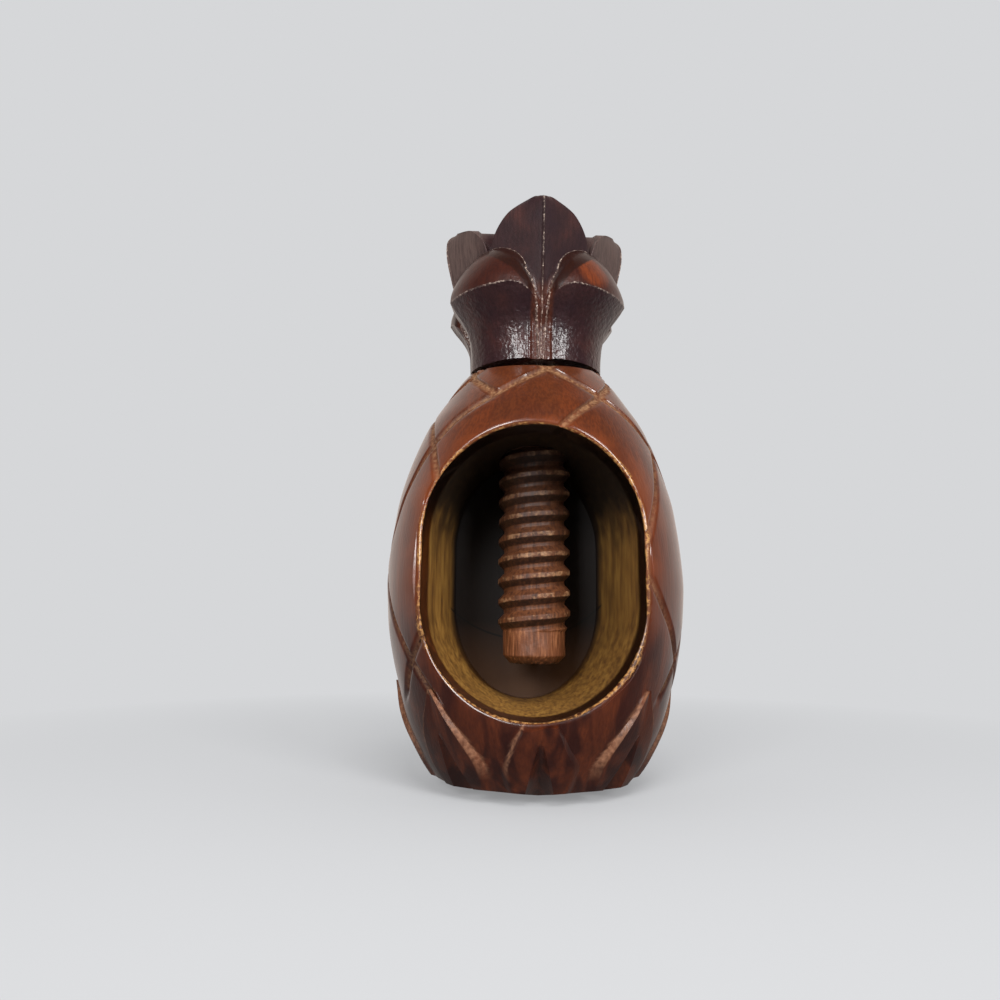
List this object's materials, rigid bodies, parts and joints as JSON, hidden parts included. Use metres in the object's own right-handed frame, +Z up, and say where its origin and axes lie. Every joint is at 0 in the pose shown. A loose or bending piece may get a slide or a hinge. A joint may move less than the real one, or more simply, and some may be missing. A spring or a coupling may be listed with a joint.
{
  "type": "screw nutcracker",
  "caption": "Carved wooden fruit-shaped nutcracker: a leafy crown turns a wooden screw down into an open nut chamber.",
  "frame": {"origin": "middle of the flat foot that the body stands on", "axes": "+Z up along the screw's axis, -Y out of the nut chamber's mouth, +X to the right seen from the mouth"},
  "size_m": [0.0754, 0.0716, 0.148],
  "materials": {
    "stained_body": "carved, stained red brown and varnished to a gloss; raw golden wood inside the chamber",
    "stained_crown": "carved, stained dark brown and varnished to a gloss",
    "raw_screw": "bare cut wood, matte, with worn crests"
  },
  "bodies": {
    "body": {"body": "stained_body"},
    "tenon": {"screw_tenon": "raw_screw"},
    "crown_and_screw": {"crown": "stained_crown", "screw": "raw_screw"}
  },
  "joints": [
    {"name": "screw_travel", "type": "slide", "parent": "body", "child": "tenon", "axis": [0, 0, 1], "range_m": [0, 0.0573]},
    {"name": "crown_turn", "type": "hinge", "parent": "tenon", "child": "crown_and_screw", "pos_m": [0, 0, 0.1051], "axis": [0, 0, 1], "range_deg": [0, 3960]}
  ],
  "couplings": [
    {"joint": "screw_travel", "follows": "crown_turn", "m_per_rad": 0.00082761}
  ]
}
